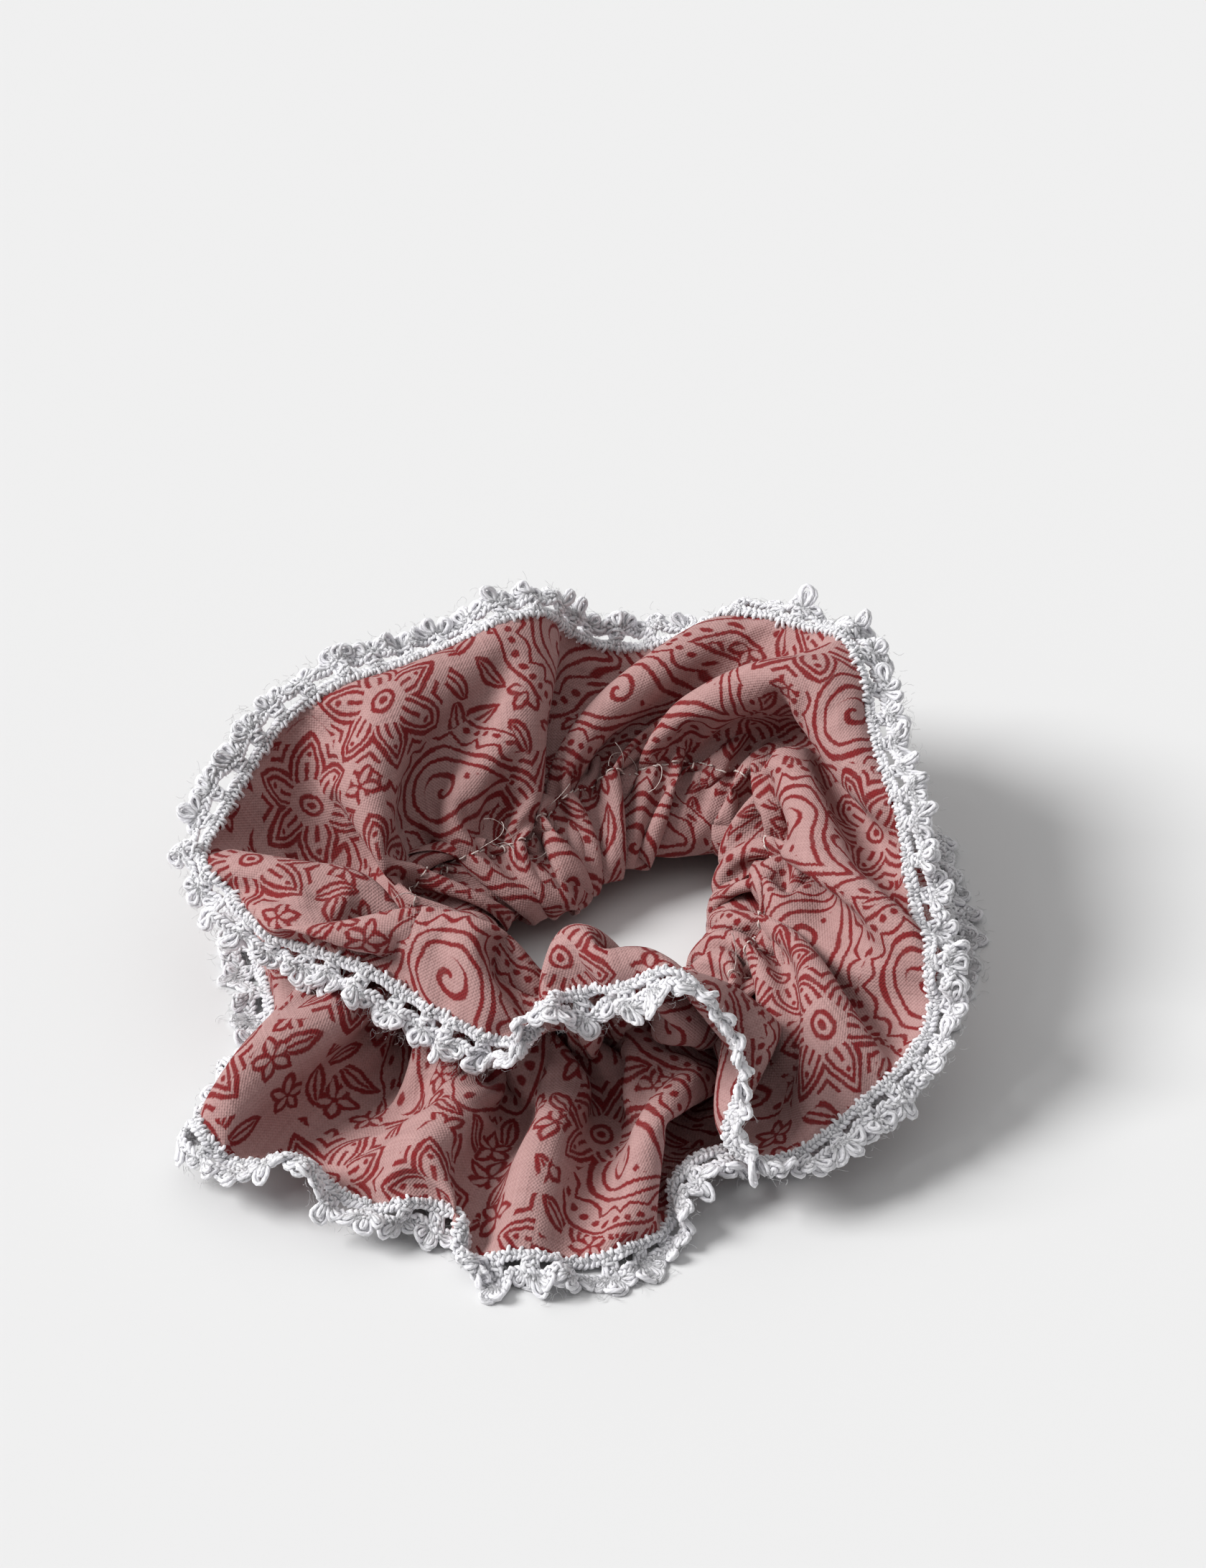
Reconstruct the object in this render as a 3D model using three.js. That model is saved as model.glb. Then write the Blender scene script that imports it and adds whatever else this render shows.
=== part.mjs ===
import * as THREE from 'three';
import { mergeVertices } from 'three/addons/utils/BufferGeometryUtils.js';

// Gathered scrunchie, millimetres, +Z up, lying flat on its lower ruffle.
// The ring of the casing is centred at (RING_X, RING_Y); +Y is the back, where the upper ruffle stands up.
const RING_X = -0.502;
const RING_Y = 8.661;

// casing: a puffed channel with a flat underside, hollow for the elastic; its hole lies off the ring's centre
const CASING_INNER_R = 17;
const CASING_OUTER_R = 31;
const CASING_HEIGHT = 17;
const HOLE_X = 7;
const HOLE_Y = 2;
const CASING_CORNER = 4;
const CASING_WALL = 2;

// flat braided elastic and its lapped joint
const ELASTIC_R = 23;
const ELASTIC_THICKNESS = 1;
const ELASTIC_WIDTH = 8;
const ELASTIC_BOTTOM = 4.5;
const LAP_SPAN = 30;            // degrees of ring covered by the lapped end
const TACK_SPAN = 5;            // degrees of ring covered by the dense bar of zigzag stitches
const TACK_THICKNESS = 0.5;

// stitching thread between the casing and the ruffles
const STITCH_R = 31.75;
const STITCH_THREAD_R = 0.35;
const STITCH_Z = 14;

// ruffles: cloth from the stitching out to the rim
const RUFFLE_FOOT_R = 32.5;
const UPPER_FOOT_Z = 15.5;
const LOWER_FOOT_Z = 12.5;
const CLOTH_THICKNESS = 0.8;
const UPPER_BULGE = 3;
const LOWER_BULGE = 2;

// crocheted edging, carried on past the rim
const LACE_START = 1.2;         // 1 at the rim, 2 at the lace's outer edge
const LACE_THICKNESS = 1.4;
const LACE_WIDTH = 8;
const UPPER_LACE_LIFT = 0.6;    // how much of the ruffle's slope the edging keeps
const LOWER_LACE_LIFT = 0.4;

// the halves of every ring part stop this many degrees short of the two parting bearings
const PARTING = 0.35;

// rim of the upper ruffle from the front parting point round by the right, the back and the left
const UPPER_RIM = [
  [-9, -41, 24], [-3, -41, 28], [3, -42, 31], [9, -44, 36], [15, -45, 39], [22, -48, 33], [28, -53, 23],
  [25, -58, 12], [35, -60, 10], [44, -55, 12], [54, -45, 16], [61, -35, 19], [60, -27, 25], [57, -12, 27],
  [56, 2, 33], [53, 12, 35], [51, 22, 38], [52, 31, 42], [47, 40, 44], [40, 49, 40], [32, 55, 37],
  [24, 56, 35], [16, 57, 29], [8, 58, 26], [0, 56, 30], [-6, 49, 42], [-13, 44, 44], [-22, 39, 42],
  [-31, 34, 41], [-40, 31, 40], [-49, 28, 37], [-56, 22, 33], [-61, 10, 29], [-66, -5, 26], [-61, -9, 25],
  [-56, -14, 25], [-50, -21, 25], [-41, -26, 26], [-31, -30, 25], [-25, -36, 22], [-17, -41, 21],
];
const UPPER_BACK_POINT = 24;    // the rim point where the back parting lies

// rim of the lower ruffle, the same way round
const LOWER_RIM = [
  [-9, -77, 2.5], [-2, -77, 2.5], [6, -75, 2.5], [13, -71, 3], [16, -67, 5], [15, -61, 7], [20, -56, 7],
  [28, -51, 5], [37, -46, 3], [45, -40, 2.5], [52, -32, 4], [58, -22, 4], [63, -12, 2.5], [66, -2, 2.5],
  [67, 8, 4], [66, 19, 4], [62, 30, 2.5], [57, 39, 4], [50, 47, 6], [42, 53, 3], [32, 57, 2.5],
  [22, 59, 4], [12, 60, 5], [2, 59, 3], [-9, 57, 2.5], [-19, 56, 5], [-29, 51, 5], [-38, 45, 2.5],
  [-46, 38, 3], [-53, 30, 5], [-57, 20, 3], [-59, 9, 2.5], [-57, -3, 3], [-53, -14, 4], [-53, -25, 4],
  [-57, -35, 5], [-61, -43, 8], [-63, -50, 9], [-62, -55, 7], [-56, -58, 8], [-47, -59, 9], [-41, -62, 7],
  [-33, -66, 6], [-25, -66, 7], [-20, -68, 6], [-18, -73, 3], [-15, -76, 2.5],
];
const LOWER_BACK_POINT = 23;

function material(red, green, blue) {
  return new THREE.MeshStandardMaterial({ color: new THREE.Color(red, green, blue), roughness: 0.9 });
}

function mesh(name, geometry, look) {
  const bare = geometry.clone();
  bare.deleteAttribute('uv');
  bare.deleteAttribute('normal');
  const closed = mergeVertices(bare, 1e-4);
  closed.translate(RING_X, RING_Y, 0);
  closed.computeVertexNormals();
  const part = new THREE.Mesh(closed, look);
  part.name = name;
  return part;
}

// a ruffle's rim as a closed curve, with the share of its length at which the back parting lies
function ruffleShape(points, backPoint, footHeight, bulge, laceLift) {
  const rim = new THREE.CatmullRomCurve3(points.map((p) => new THREE.Vector3(...p)), true, 'centripetal');
  const perPoint = 20;
  const lengths = rim.getLengths(points.length * perPoint);
  const backPart = lengths[backPoint * perPoint] / lengths[lengths.length - 1];
  return { rim, backPart, footHeight, bulge, laceLift };
}

// a solid of rectangular blocks bent to a surface: place(along, across, depth) gives the point
function bentBlock(place, alongSteps, acrossSteps) {
  const block = new THREE.BoxGeometry(1, 1, 1, alongSteps, acrossSteps, 1);
  const positions = block.attributes.position;
  for (let i = 0; i < positions.count; i += 1) {
    const point = place(positions.getX(i) + 0.5, positions.getY(i) + 0.5, positions.getZ(i));
    positions.setXYZ(i, point.x, point.y, point.z);
  }
  return block;
}

// the middle surface of a ruffle at a share of the rim's length and a share of the cloth's reach
function clothPoint(ruffle, rimShare, reach) {
  const back = ruffle.backPart;
  const turn = rimShare < back ? 180 * (rimShare / back) : 180 + 180 * ((rimShare - back) / (1 - back));
  const angle = THREE.MathUtils.degToRad(270 + turn);
  const foot = new THREE.Vector3(
    RUFFLE_FOOT_R * Math.cos(angle), RUFFLE_FOOT_R * Math.sin(angle), ruffle.footHeight);
  const rim = ruffle.rim.getPointAt(Math.min(Math.max(rimShare, 0), 1));
  const inside = Math.min(reach, 1);
  const point = foot.clone().lerp(rim, inside);
  point.z += ruffle.bulge * 4 * inside * (1 - inside);
  if (reach > 1) {
    const outward = rim.clone().sub(foot);
    outward.z *= ruffle.laceLift;
    point.addScaledVector(outward.normalize(), LACE_WIDTH * (reach - 1));
  }
  return point;
}

function ruffleSlab(ruffle, rimFrom, rimTo, reachFrom, reachTo, thickness, offset, alongSteps, acrossSteps) {
  const step = 1e-3;
  return bentBlock((along, across, depth) => {
    const share = THREE.MathUtils.lerp(rimFrom, rimTo, along);
    const reach = THREE.MathUtils.lerp(reachFrom, reachTo, across);
    const here = clothPoint(ruffle, share, reach);
    const inward = reach > 0.5 ? -step : step;
    const sideways = clothPoint(ruffle, share + step, reach).sub(clothPoint(ruffle, share - step, reach));
    const outward = clothPoint(ruffle, share, reach + inward).sub(here).multiplyScalar(Math.sign(inward));
    const under = sideways.cross(outward).normalize();
    return here.addScaledVector(under, depth * thickness + offset);
  }, alongSteps, acrossSteps);
}

function roundedSection(low, high, bottom, top, corner) {
  const shape = new THREE.Shape();
  shape.moveTo(low + corner, bottom);
  shape.lineTo(high - corner, bottom);
  shape.absarc(high - corner, bottom + corner, corner, -Math.PI / 2, 0);
  shape.lineTo(high, top - corner);
  shape.absarc(high - corner, top - corner, corner, 0, Math.PI / 2);
  shape.lineTo(low + corner, top);
  shape.absarc(low + corner, top - corner, corner, Math.PI / 2, Math.PI);
  shape.lineTo(low, bottom + corner);
  shape.absarc(low + corner, bottom + corner, corner, Math.PI, 1.5 * Math.PI);
  return shape;
}

// how far the hole's edge lies outside its own radius, seen from the ring's centre
function holeShift(angle) {
  const towards = HOLE_X * Math.cos(angle) + HOLE_Y * Math.sin(angle);
  const sideways = HOLE_X * Math.sin(angle) - HOLE_Y * Math.cos(angle);
  return towards + Math.sqrt(CASING_INNER_R ** 2 - sideways ** 2) - CASING_INNER_R;
}

// the share of that shift that a point of the casing's section takes: all at the hole, none at the stitching
function shiftShare(radius) {
  return (CASING_OUTER_R - radius) / (CASING_OUTER_R - CASING_INNER_R);
}

// a section drawn in (radius, height), swept round part of the ring; share(radius) is its part in the shift
function sweptSection(shape, fromDegrees, toDegrees, steps, share) {
  const solid = new THREE.ExtrudeGeometry(shape, { depth: 1, steps, bevelEnabled: false, curveSegments: 3 });
  const positions = solid.attributes.position;
  for (let i = 0; i < positions.count; i += 1) {
    const angle = THREE.MathUtils.degToRad(THREE.MathUtils.lerp(toDegrees, fromDegrees, positions.getZ(i)));
    const radius = positions.getX(i) + holeShift(angle) * share(positions.getX(i));
    positions.setXYZ(i, radius * Math.cos(angle), radius * Math.sin(angle), positions.getY(i));
  }
  return solid;
}

function casingHalf(from, to) {
  const shape = roundedSection(CASING_INNER_R, CASING_OUTER_R, 0, CASING_HEIGHT, CASING_CORNER);
  const hollow = roundedSection(
    CASING_INNER_R + CASING_WALL, CASING_OUTER_R - CASING_WALL, CASING_WALL, CASING_HEIGHT - CASING_WALL,
    CASING_CORNER - CASING_WALL);
  shape.holes.push(new THREE.Path(hollow.getPoints(3).reverse()));
  return sweptSection(shape, from, to, 20, shiftShare);
}

function bandHalf(from, to, radius, thickness, bottom, width, steps) {
  const section = new THREE.Shape();
  section.moveTo(radius, bottom);
  section.lineTo(radius + thickness, bottom);
  section.lineTo(radius + thickness, bottom + width);
  section.lineTo(radius, bottom + width);
  return sweptSection(section, from, to, steps, () => shiftShare(ELASTIC_R));
}

function stitchHalf(from, to) {
  const disc = new THREE.Shape().absarc(STITCH_R, STITCH_Z, STITCH_THREAD_R, 0, 2 * Math.PI);
  return sweptSection(disc, from, to, 30, () => 0);
}

function build() {
  const cloth = () => material(0.62, 0.36, 0.34);
  const white = () => material(0.9, 0.9, 0.9);
  const thread = () => material(0.78, 0.66, 0.62);
  const rubber = () => material(0.85, 0.84, 0.82);

  const upper = ruffleShape(UPPER_RIM, UPPER_BACK_POINT, UPPER_FOOT_Z, UPPER_BULGE, UPPER_LACE_LIFT);
  const lower = ruffleShape(LOWER_RIM, LOWER_BACK_POINT, LOWER_FOOT_Z, LOWER_BULGE, LOWER_LACE_LIFT);

  const group = new THREE.Group();
  group.name = 'scrunchie';
  const add = (name, geometry, look) => group.add(mesh(name, geometry, look));

  const sides = [
    { side: 'right', from: -90 + PARTING, to: 90 - PARTING, first: 0, last: (r) => r.backPart },
    { side: 'left', from: 90 + PARTING, to: 270 - PARTING, first: null, last: () => 1 },
  ];
  for (const { side, from, to, first, last } of sides) {
    add(`casing_${side}`, casingHalf(from, to), cloth());
    add(`elastic_${side}`,
      bandHalf(from, to, ELASTIC_R, ELASTIC_THICKNESS, ELASTIC_BOTTOM, ELASTIC_WIDTH, 28), rubber());
    add(`casing_stitching_${side}`, stitchHalf(from, to), thread());
    for (const [tier, ruffle] of [['upper', upper], ['lower', lower]]) {
      const trim = PARTING / 360;
      const rimFrom = (first === null ? ruffle.backPart : first) + trim;
      const rimTo = last(ruffle) - trim;
      add(`${tier}_ruffle_${side}`,
        ruffleSlab(ruffle, rimFrom, rimTo, 0, 1, CLOTH_THICKNESS, 0, 58, 3), cloth());
      add(`${tier}_lace_${side}`,
        ruffleSlab(ruffle, rimFrom, rimTo, LACE_START, 2, LACE_THICKNESS, 0, 58, 1), white());
    }
  }

  add('elastic_overlap',
    bandHalf(180 - LAP_SPAN / 2, 180 + LAP_SPAN / 2, ELASTIC_R - ELASTIC_THICKNESS - 0.3, ELASTIC_THICKNESS,
      ELASTIC_BOTTOM, ELASTIC_WIDTH, 8), rubber());
  add('elastic_bar_tack',
    bandHalf(180 - TACK_SPAN / 2, 180 + TACK_SPAN / 2, ELASTIC_R - ELASTIC_THICKNESS - 0.6 - TACK_THICKNESS,
      TACK_THICKNESS, ELASTIC_BOTTOM + 0.5, ELASTIC_WIDTH - 1, 2), thread());

  const below = CLOTH_THICKNESS + 0.3;
  add('upper_side_seam', ruffleSlab(upper, 0.66, 0.68, 0.06, 0.94, 0.7, below, 3, 6), cloth());
  add('lower_side_seam', ruffleSlab(lower, 0.66, 0.68, 0.06, 0.9, 0.7, -below, 3, 6), cloth());
  return group;
}

export default build();
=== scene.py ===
import math
from functools import partialmethod

import bpy
import numpy as np
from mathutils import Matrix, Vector


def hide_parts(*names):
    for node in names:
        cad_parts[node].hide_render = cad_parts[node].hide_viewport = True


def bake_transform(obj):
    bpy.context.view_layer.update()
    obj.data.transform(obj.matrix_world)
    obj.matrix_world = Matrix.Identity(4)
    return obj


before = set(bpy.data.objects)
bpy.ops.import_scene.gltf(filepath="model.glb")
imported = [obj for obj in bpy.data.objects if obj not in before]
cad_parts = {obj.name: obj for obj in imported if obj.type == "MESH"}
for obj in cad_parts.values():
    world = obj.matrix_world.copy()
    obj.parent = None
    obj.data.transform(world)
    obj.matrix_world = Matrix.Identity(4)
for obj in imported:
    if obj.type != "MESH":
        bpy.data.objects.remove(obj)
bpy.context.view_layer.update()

# ---- Sizes, in millimetres about the centre of the ring unless a line says otherwise.
# The strip of cloth runs: upper lace, upper ruffle, seam, casing, seam, lower ruffle, lower lace.
MM = 0.001
RING_CENTRE = (-0.502, 8.661)      # the ring's centre in the part's frame
STRIP_LENGTH = 455.0               # the strip measured round the loop
UPPER_WIDTH = 44.0                 # cloth from the stitching to the free edge
CASING_WIDTH = 38.0                # cloth round the casing, from seam to seam
LOWER_WIDTH = 50.0
LACE_WIDTH = 8.0
HALF_GAP = 0.6                     # each ruffle starts this far above or below the stitching
CASING_PUFF = 5.0                  # how far the casing's two faces bulge
PLEATS = 24                        # at the stitching; they merge in pairs on the way out, twice

COLUMNS = 352                      # cloth cells round the loop
LACE_CELLS = 4                     # and across each part of the strip
UPPER_CELLS = 30
CASING_CELLS = 26
LOWER_CELLS = 34

# free edge of the upper ruffle, from the front round by the right, the back and the left
UPPER_RIM = [
    (-9, -41, 24), (-3, -41, 28), (3, -42, 31), (9, -44, 36), (15, -45, 39), (22, -48, 33), (28, -53, 23),
    (25, -58, 12), (35, -60, 10), (44, -55, 12), (54, -45, 16), (61, -35, 19), (60, -27, 25), (57, -12, 27),
    (56, 2, 33), (53, 12, 35), (51, 22, 38), (52, 31, 42), (47, 40, 44), (40, 49, 40), (32, 55, 37),
    (24, 56, 35), (16, 57, 29), (8, 58, 26), (0, 56, 30), (-6, 49, 42), (-13, 44, 44), (-22, 39, 42),
    (-31, 34, 41), (-40, 31, 40), (-49, 28, 37), (-56, 22, 33), (-61, 10, 29), (-66, -5, 26), (-61, -9, 25),
    (-56, -14, 25), (-50, -21, 25), (-41, -26, 26), (-31, -30, 25), (-25, -36, 22), (-17, -41, 21),
]
# free edge of the lower ruffle, the same way round
LOWER_RIM = [
    (-9, -77, 2.5), (-2, -77, 2.5), (6, -75, 2.5), (13, -71, 3), (16, -67, 5), (15, -61, 7), (20, -56, 7),
    (28, -51, 5), (37, -46, 3), (45, -40, 2.5), (52, -32, 4), (58, -22, 4), (63, -12, 2.5), (66, -2, 2.5),
    (67, 8, 4), (66, 19, 4), (62, 30, 2.5), (57, 39, 4), (50, 47, 6), (42, 53, 3), (32, 57, 2.5), (22, 59, 4),
    (12, 60, 5), (2, 59, 3), (-9, 57, 2.5), (-19, 56, 5), (-29, 51, 5), (-38, 45, 2.5), (-46, 38, 3),
    (-53, 30, 5), (-57, 20, 3), (-59, 9, 2.5), (-57, -3, 3), (-53, -14, 4), (-53, -25, 4), (-57, -35, 5),
    (-61, -43, 8), (-63, -50, 9), (-62, -55, 7), (-56, -58, 8), (-47, -59, 9), (-41, -62, 7), (-33, -66, 6),
    (-25, -66, 7), (-20, -68, 6), (-18, -73, 3), (-15, -76, 2.5),
]
# the stitching, and the inner fold of the casing round the hole: an oval dented at the back left
SEAM = [
    (0, -31, 12), (13, -31, 10), (26, -24, 11), (33, -9, 13), (36, 10, 16), (35, 26, 19), (24, 33, 20),
    (10, 32, 19), (-3, 25, 18), (-11, 15, 16), (-20, 11, 16), (-28, 7, 15), (-31, -2, 14), (-27, -15, 13),
    (-15, -27, 13),
]
HOLE = [
    (10, -16, 4), (19, -13, 3), (24, -4, 3), (27, 7, 3), (29, 17, 4), (25, 25, 4), (17, 20, 4), (9, 13, 4),
    (0, 7, 4), (-7, 4, 4), (-11, 0, 4), (-10, -6, 4), (-6, -12, 4), (1, -16, 4),
]
HOLE_CENTRE = (5, 3)
# where more cloth is gathered into a rim than its length: the rim point, and the extra cloth
UPPER_SLACK = [(0.9, 14), (12, 5)]
LOWER_SLACK = [(38.6, 5), (45.0, 8)]
# folds: the rim point they lie towards, how far out (0 at the seam, 1 at the rim), and where they lie
UPPER_FOLDS = [
    (0.2, 0.55, (-6, -31, 18)), (1.8, 0.68, (1, -34, 40)), (4.0, 0.76, (12, -40, 35)),
    (37.8, 0.60, (-30, -27, 33)), (39.2, 0.62, (-20, -26, 36)), (40.3, 0.62, (-14, -29, 31)),
    (34.8, 0.45, (-38, -8, 30)),
    (11.2, 0.42, (36, -20, 12)), (11.3, 0.75, (50, -28, 16)), (13.0, 0.48, (40, -9, 28)),
    (9.6, 0.55, (41, -33, 21)),
]
LOWER_FOLDS = [
    (37.3, 0.88, (-61, -50, 15)), (37.3, 0.62, (-52, -42, 20)), (37.3, 0.35, (-38, -35, 20)),
    (39.6, 0.88, (-50, -55, 3)), (39.6, 0.62, (-45, -43, 2)), (39.6, 0.35, (-31, -35, 3)),
    (41.2, 0.80, (-38, -56, 4)), (41.2, 0.50, (-30, -45, 4)),
    (43.4, 0.88, (-23, -65, 11)), (43.4, 0.62, (-19, -56, 17)), (43.4, 0.35, (-14, -43, 9)),
    (44.8, 0.70, (-16, -58, 2)), (44.8, 0.42, (-11, -46, 3)),
    (46.9, 0.88, (-8, -71, 7)), (46.9, 0.62, (-5, -57, 17)), (46.9, 0.35, (0, -42, 9)),
    (1.3, 0.62, (3, -55, 2)), (1.3, 0.35, (5, -42, 3)), (2.8, 0.65, (11, -58, 14)),
]

CELL_WIDTHS = np.r_[np.full(LACE_CELLS, LACE_WIDTH / LACE_CELLS),
                    np.full(UPPER_CELLS, UPPER_WIDTH / UPPER_CELLS),
                    np.full(CASING_CELLS, CASING_WIDTH / CASING_CELLS),
                    np.full(LOWER_CELLS, LOWER_WIDTH / LOWER_CELLS),
                    np.full(LACE_CELLS, LACE_WIDTH / LACE_CELLS)]
ROWS = len(CELL_WIDTHS) + 1
UPPER_EDGE = LACE_CELLS                          # the rows of the cloth grid where its parts meet
UPPER_SEAM = UPPER_EDGE + UPPER_CELLS
LOWER_SEAM = UPPER_SEAM + CASING_CELLS
LOWER_EDGE = LOWER_SEAM + LOWER_CELLS
SIDE_SEAM_COLUMN = 236
SIDE_SEAM_HALF = 4                               # columns of turned-back cloth on each side of it
COLUMN_WIDTH = STRIP_LENGTH / COLUMNS
ROW_PLACES = np.r_[0, np.cumsum(CELL_WIDTHS)]
FROM_SEAM = np.min([np.abs(ROW_PLACES - ROW_PLACES[seam]) for seam in (UPPER_SEAM, LOWER_SEAM)], axis=0)
IN_CASING = (np.arange(ROWS) >= UPPER_SEAM) & (np.arange(ROWS) <= LOWER_SEAM)
UP = np.array([0, 0, 1.0])


# ---- Loops: closed curves with their shares of length
class Loop:
    """A smooth closed curve through a few points."""

    def __init__(self, points, slack=(), per_span=40):
        p = np.array(points, float)
        t = (np.arange(per_span) / per_span)[:, None]
        spans = []
        for k in range(len(p)):
            a, b, c, d = p[k - 1], p[k], p[(k + 1) % len(p)], p[(k + 2) % len(p)]
            spans.append(0.5 * (2 * b + (c - a) * t + (2 * a - 5 * b + 4 * c - d) * t ** 2
                                + (3 * b - a - 3 * c + d) * t ** 3))
        curve = np.concatenate(spans)
        self.per_span = per_span
        self.curve = np.vstack([curve, curve[:1]])
        step = np.linalg.norm(np.diff(self.curve, axis=0), axis=1)
        for index, extra in slack:
            away = (np.arange(len(step)) / per_span - index + len(p) / 2) % len(p) - len(p) / 2
            near = np.exp(-(away / 1.2) ** 2)
            step = step + extra * near / near.sum()
        run = np.r_[0, np.cumsum(step)]
        self.share = run / run[-1]

    def at(self, shares):
        shares = np.asarray(shares) % 1
        return np.stack([np.interp(shares, self.share, self.curve[:, k]) for k in range(3)], -1)

    def share_of_point(self, index):
        return np.interp(index * self.per_span, np.arange(len(self.share)), self.share)

    def share_at_bearing(self, bearing, centre=(0, 0)):
        turn = np.unwrap(np.arctan2(self.curve[:, 1] - centre[1], self.curve[:, 0] - centre[0]))
        turn = np.maximum.accumulate(turn)[:-1]
        share = self.share[:-1]
        turns = np.concatenate([turn - 2 * np.pi, turn, turn + 2 * np.pi])
        shares = np.concatenate([share - 1, share, share + 1])
        return np.interp(bearing, turns, shares)


def smooth_round(values, width):
    """Values round the loop, smoothed over a width in columns."""
    soft = np.exp(-2 * (np.pi * np.fft.rfftfreq(len(values)) * width) ** 2)
    soft = soft.reshape(-1, *[1] * (values.ndim - 1))
    return np.fft.irfft(np.fft.rfft(values, axis=0) * soft, len(values), axis=0)


def bearing_round(points, centre=(0, 0)):
    """Bearing of each point of a loop, free of wiggles, rising by a full turn."""
    turn = np.unwrap(np.arctan2(points[:, 1] - centre[1], points[:, 0] - centre[0]))
    even = np.arange(len(points)) / len(points) * 2 * np.pi
    return even + smooth_round(turn - even, 10)


def unit(v):
    return v / np.maximum(np.linalg.norm(v, axis=-1, keepdims=True), 1e-9)


# ---- The strip laid out: smooth surfaces first, then pleats
def bend_to_folds(surface, share, reach, loop, folds, wide=0.02, deep=0.2):
    """Moves a ruffle's smooth surface so that it passes through its listed folds."""
    at = np.array([(loop.share_of_point(f[0]), f[1]) for f in folds])
    aim = np.array([f[2] for f in folds], float)
    columns = np.round(at[:, 0] * COLUMNS).astype(int) % COLUMNS
    rows = np.array([np.argmin(np.abs(reach - r)) for r in at[:, 1]])
    missing = aim - surface[columns, rows]

    def near(s, r, fold):
        # 1 at the fold, fading to nothing along the strip and at the seam and the rim
        along = (s - at[fold, 0] + 0.5) % 1 - 0.5
        ends = np.clip(r / 0.2, 0, 1) * np.clip((1 - r) / 0.15, 0, 1)
        return np.exp(-(along / wide) ** 2 - ((r - at[fold, 1]) / deep) ** 2) * ends

    weights = np.array([[near(at[i, 0], at[i, 1], j) for j in range(len(folds))] for i in range(len(folds))])
    strength = np.linalg.solve(weights, missing)
    moved = surface.copy()
    pull = np.zeros(surface.shape[:2])
    for j in range(len(folds)):
        w = near(share[:, None], reach[None, :], j)
        moved += w[..., None] * strength[j]
        pull = np.maximum(pull, w)
    return moved, pull


def ruffle_surface(seam, rim, cells, bulge, lean, folds, loop, share):
    """From the seam to the rim and on to the lace's edge, as a smooth surface and its pull."""
    reach = np.arange(cells + LACE_CELLS + 1) / cells
    inside = np.minimum(reach, 1)
    surface = seam[:, None] + (rim - seam)[:, None] * inside[None, :, None]
    surface = surface + UP * (bulge * 4 * inside * (1 - inside))[None, :, None]
    moved, pull = bend_to_folds(surface, share, inside, loop, folds)
    edge = unit(unit(moved[:, cells] - moved[:, cells - 5]) + UP * lean[:, None])
    for k in range(1, LACE_CELLS + 1):
        moved[:, cells + k] = moved[:, cells] + edge * LACE_WIDTH * k / LACE_CELLS
    return moved, pull


def casing_surface(seam, hole):
    """Round the casing: over its top, down to the hole and back under, between the two seams."""
    q = np.arange(CASING_CELLS + 1) / CASING_CELLS
    out = np.sin(np.pi * q) ** 0.75
    puff = HALF_GAP - 2 * HALF_GAP * q + CASING_PUFF * np.sin(2 * np.pi * q)
    ahead = smooth_round(np.roll(seam + hole, -3, axis=0) - np.roll(seam + hole, 3, axis=0), 6)
    off = unit(np.cross(ahead, hole - seam))
    return seam[:, None] + (hole - seam)[:, None] * out[None, :, None] + off[:, None] * puff[None, :, None]


def surface_normal(surface):
    along = np.roll(surface, -4, axis=0) - np.roll(surface, 4, axis=0)
    across = np.gradient(surface, axis=1)
    return unit(np.cross(along, across))


def pleat_phase(rng):
    """Where each pleat lies round the strip: pleats of unequal width."""
    widths = np.exp(rng.normal(0, 0.35, PLEATS))
    ends = np.r_[0, np.cumsum(widths)] / widths.sum()
    phase = np.interp(np.arange(COLUMNS) / COLUMNS, ends, np.arange(PLEATS + 1) / PLEATS)
    even = np.arange(COLUMNS) / COLUMNS
    return 2 * np.pi * PLEATS * (even + smooth_round(phase - even, 3))


def round_noise(rng, waves):
    """Smooth noise round the loop, of unit spread."""
    t = np.arange(COLUMNS) / COLUMNS * 2 * np.pi
    out = sum(rng.normal() * np.cos(w * t + rng.uniform(0, 2 * np.pi)) for w in range(1, waves + 1))
    return out / np.std(out)


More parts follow.
